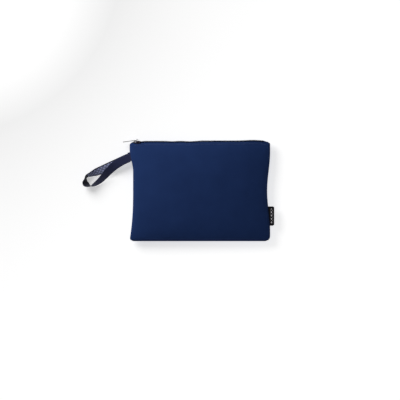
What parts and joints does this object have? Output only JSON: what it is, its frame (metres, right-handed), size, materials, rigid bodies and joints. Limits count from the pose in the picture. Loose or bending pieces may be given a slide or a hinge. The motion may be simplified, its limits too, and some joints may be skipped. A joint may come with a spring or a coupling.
{
  "type": "zip document pouch",
  "caption": "Lightly padded fabric pouch, zipped along its top edge, with a looped wrist strap and a folded side label.",
  "frame": {"origin": "middle of the flat of the back panel, which rests on the table", "axes": "+X along the zip, away from the strap; +Y from the bottom seam to the zip; +Z out of the front panel"},
  "size_m": [0.3304, 0.1743, 0.026],
  "materials": {
    "outer_fabric": "fine weave, slight sheen, navy",
    "wadding": "soft felted wadding",
    "lining": "smooth plain weave, slate navy",
    "binding": "ribbed binding tape",
    "zip_tape": "herringbone zip tape",
    "zip_coil": "moulded polyester coil, satin",
    "dark_metal": "satin, near black",
    "bright_metal": "nickel plate, satin",
    "webbing": "jacquard webbing",
    "label": "woven damask ribbon"
  },
  "bodies": {
    "pouch_back": {"back_outer_panel": "outer_fabric", "back_padding": "wadding", "back_lining": "lining", "seam_binding": "binding", "slip_pocket": "lining", "slip_pocket_hem": "binding", "card_pocket": "lining", "card_pocket_hem": "binding", "back_zip_tape": "zip_tape", "back_coil": "zip_coil", "top_stops": "dark_metal", "bottom_stop": "dark_metal", "left_end_tab": "outer_fabric", "right_end_tab": "outer_fabric", "strap_anchor": "webbing", "side_label": "label"},
    "pouch_front": {"front_outer_panel": "outer_fabric", "front_padding": "wadding", "front_lining": "lining", "front_zip_tape": "zip_tape", "front_coil": "zip_coil"},
    "slider": {"slider_body": "dark_metal", "slider_bridge": "bright_metal"},
    "puller": {"puller": "bright_metal"},
    "strap": {"wrist_strap": "webbing"}
  },
  "joints": [
    {"name": "mouth_opening", "type": "hinge", "parent": "pouch_back", "child": "pouch_front", "pos_m": [0, -0.085, 0.013], "axis": [1, 0, 0], "range_deg": [0, 12], "deforming": ["front_zip_tape", "front_coil"]},
    {"name": "slider_travel", "type": "slide", "parent": "pouch_back", "child": "slider", "axis": [1, 0, 0], "range_m": [0, 0.2075], "deforming": ["back_coil", "back_zip_tape"]},
    {"name": "puller_swing", "type": "hinge", "parent": "slider", "child": "puller", "pos_m": [-0.1078, 0.0872, 0.013], "axis": [0, 0, -1], "range_deg": [0, 185]},
    {"name": "strap_swing", "type": "hinge", "parent": "pouch_back", "child": "strap", "pos_m": [-0.1214, 0.0582, 0.013], "axis": [0, 1, 0], "range_deg": [0, 90]}
  ],
  "couplings": [
    {"joint": "slider_travel", "follows": "mouth_opening", "m_per_rad": 0.9907}
  ]
}
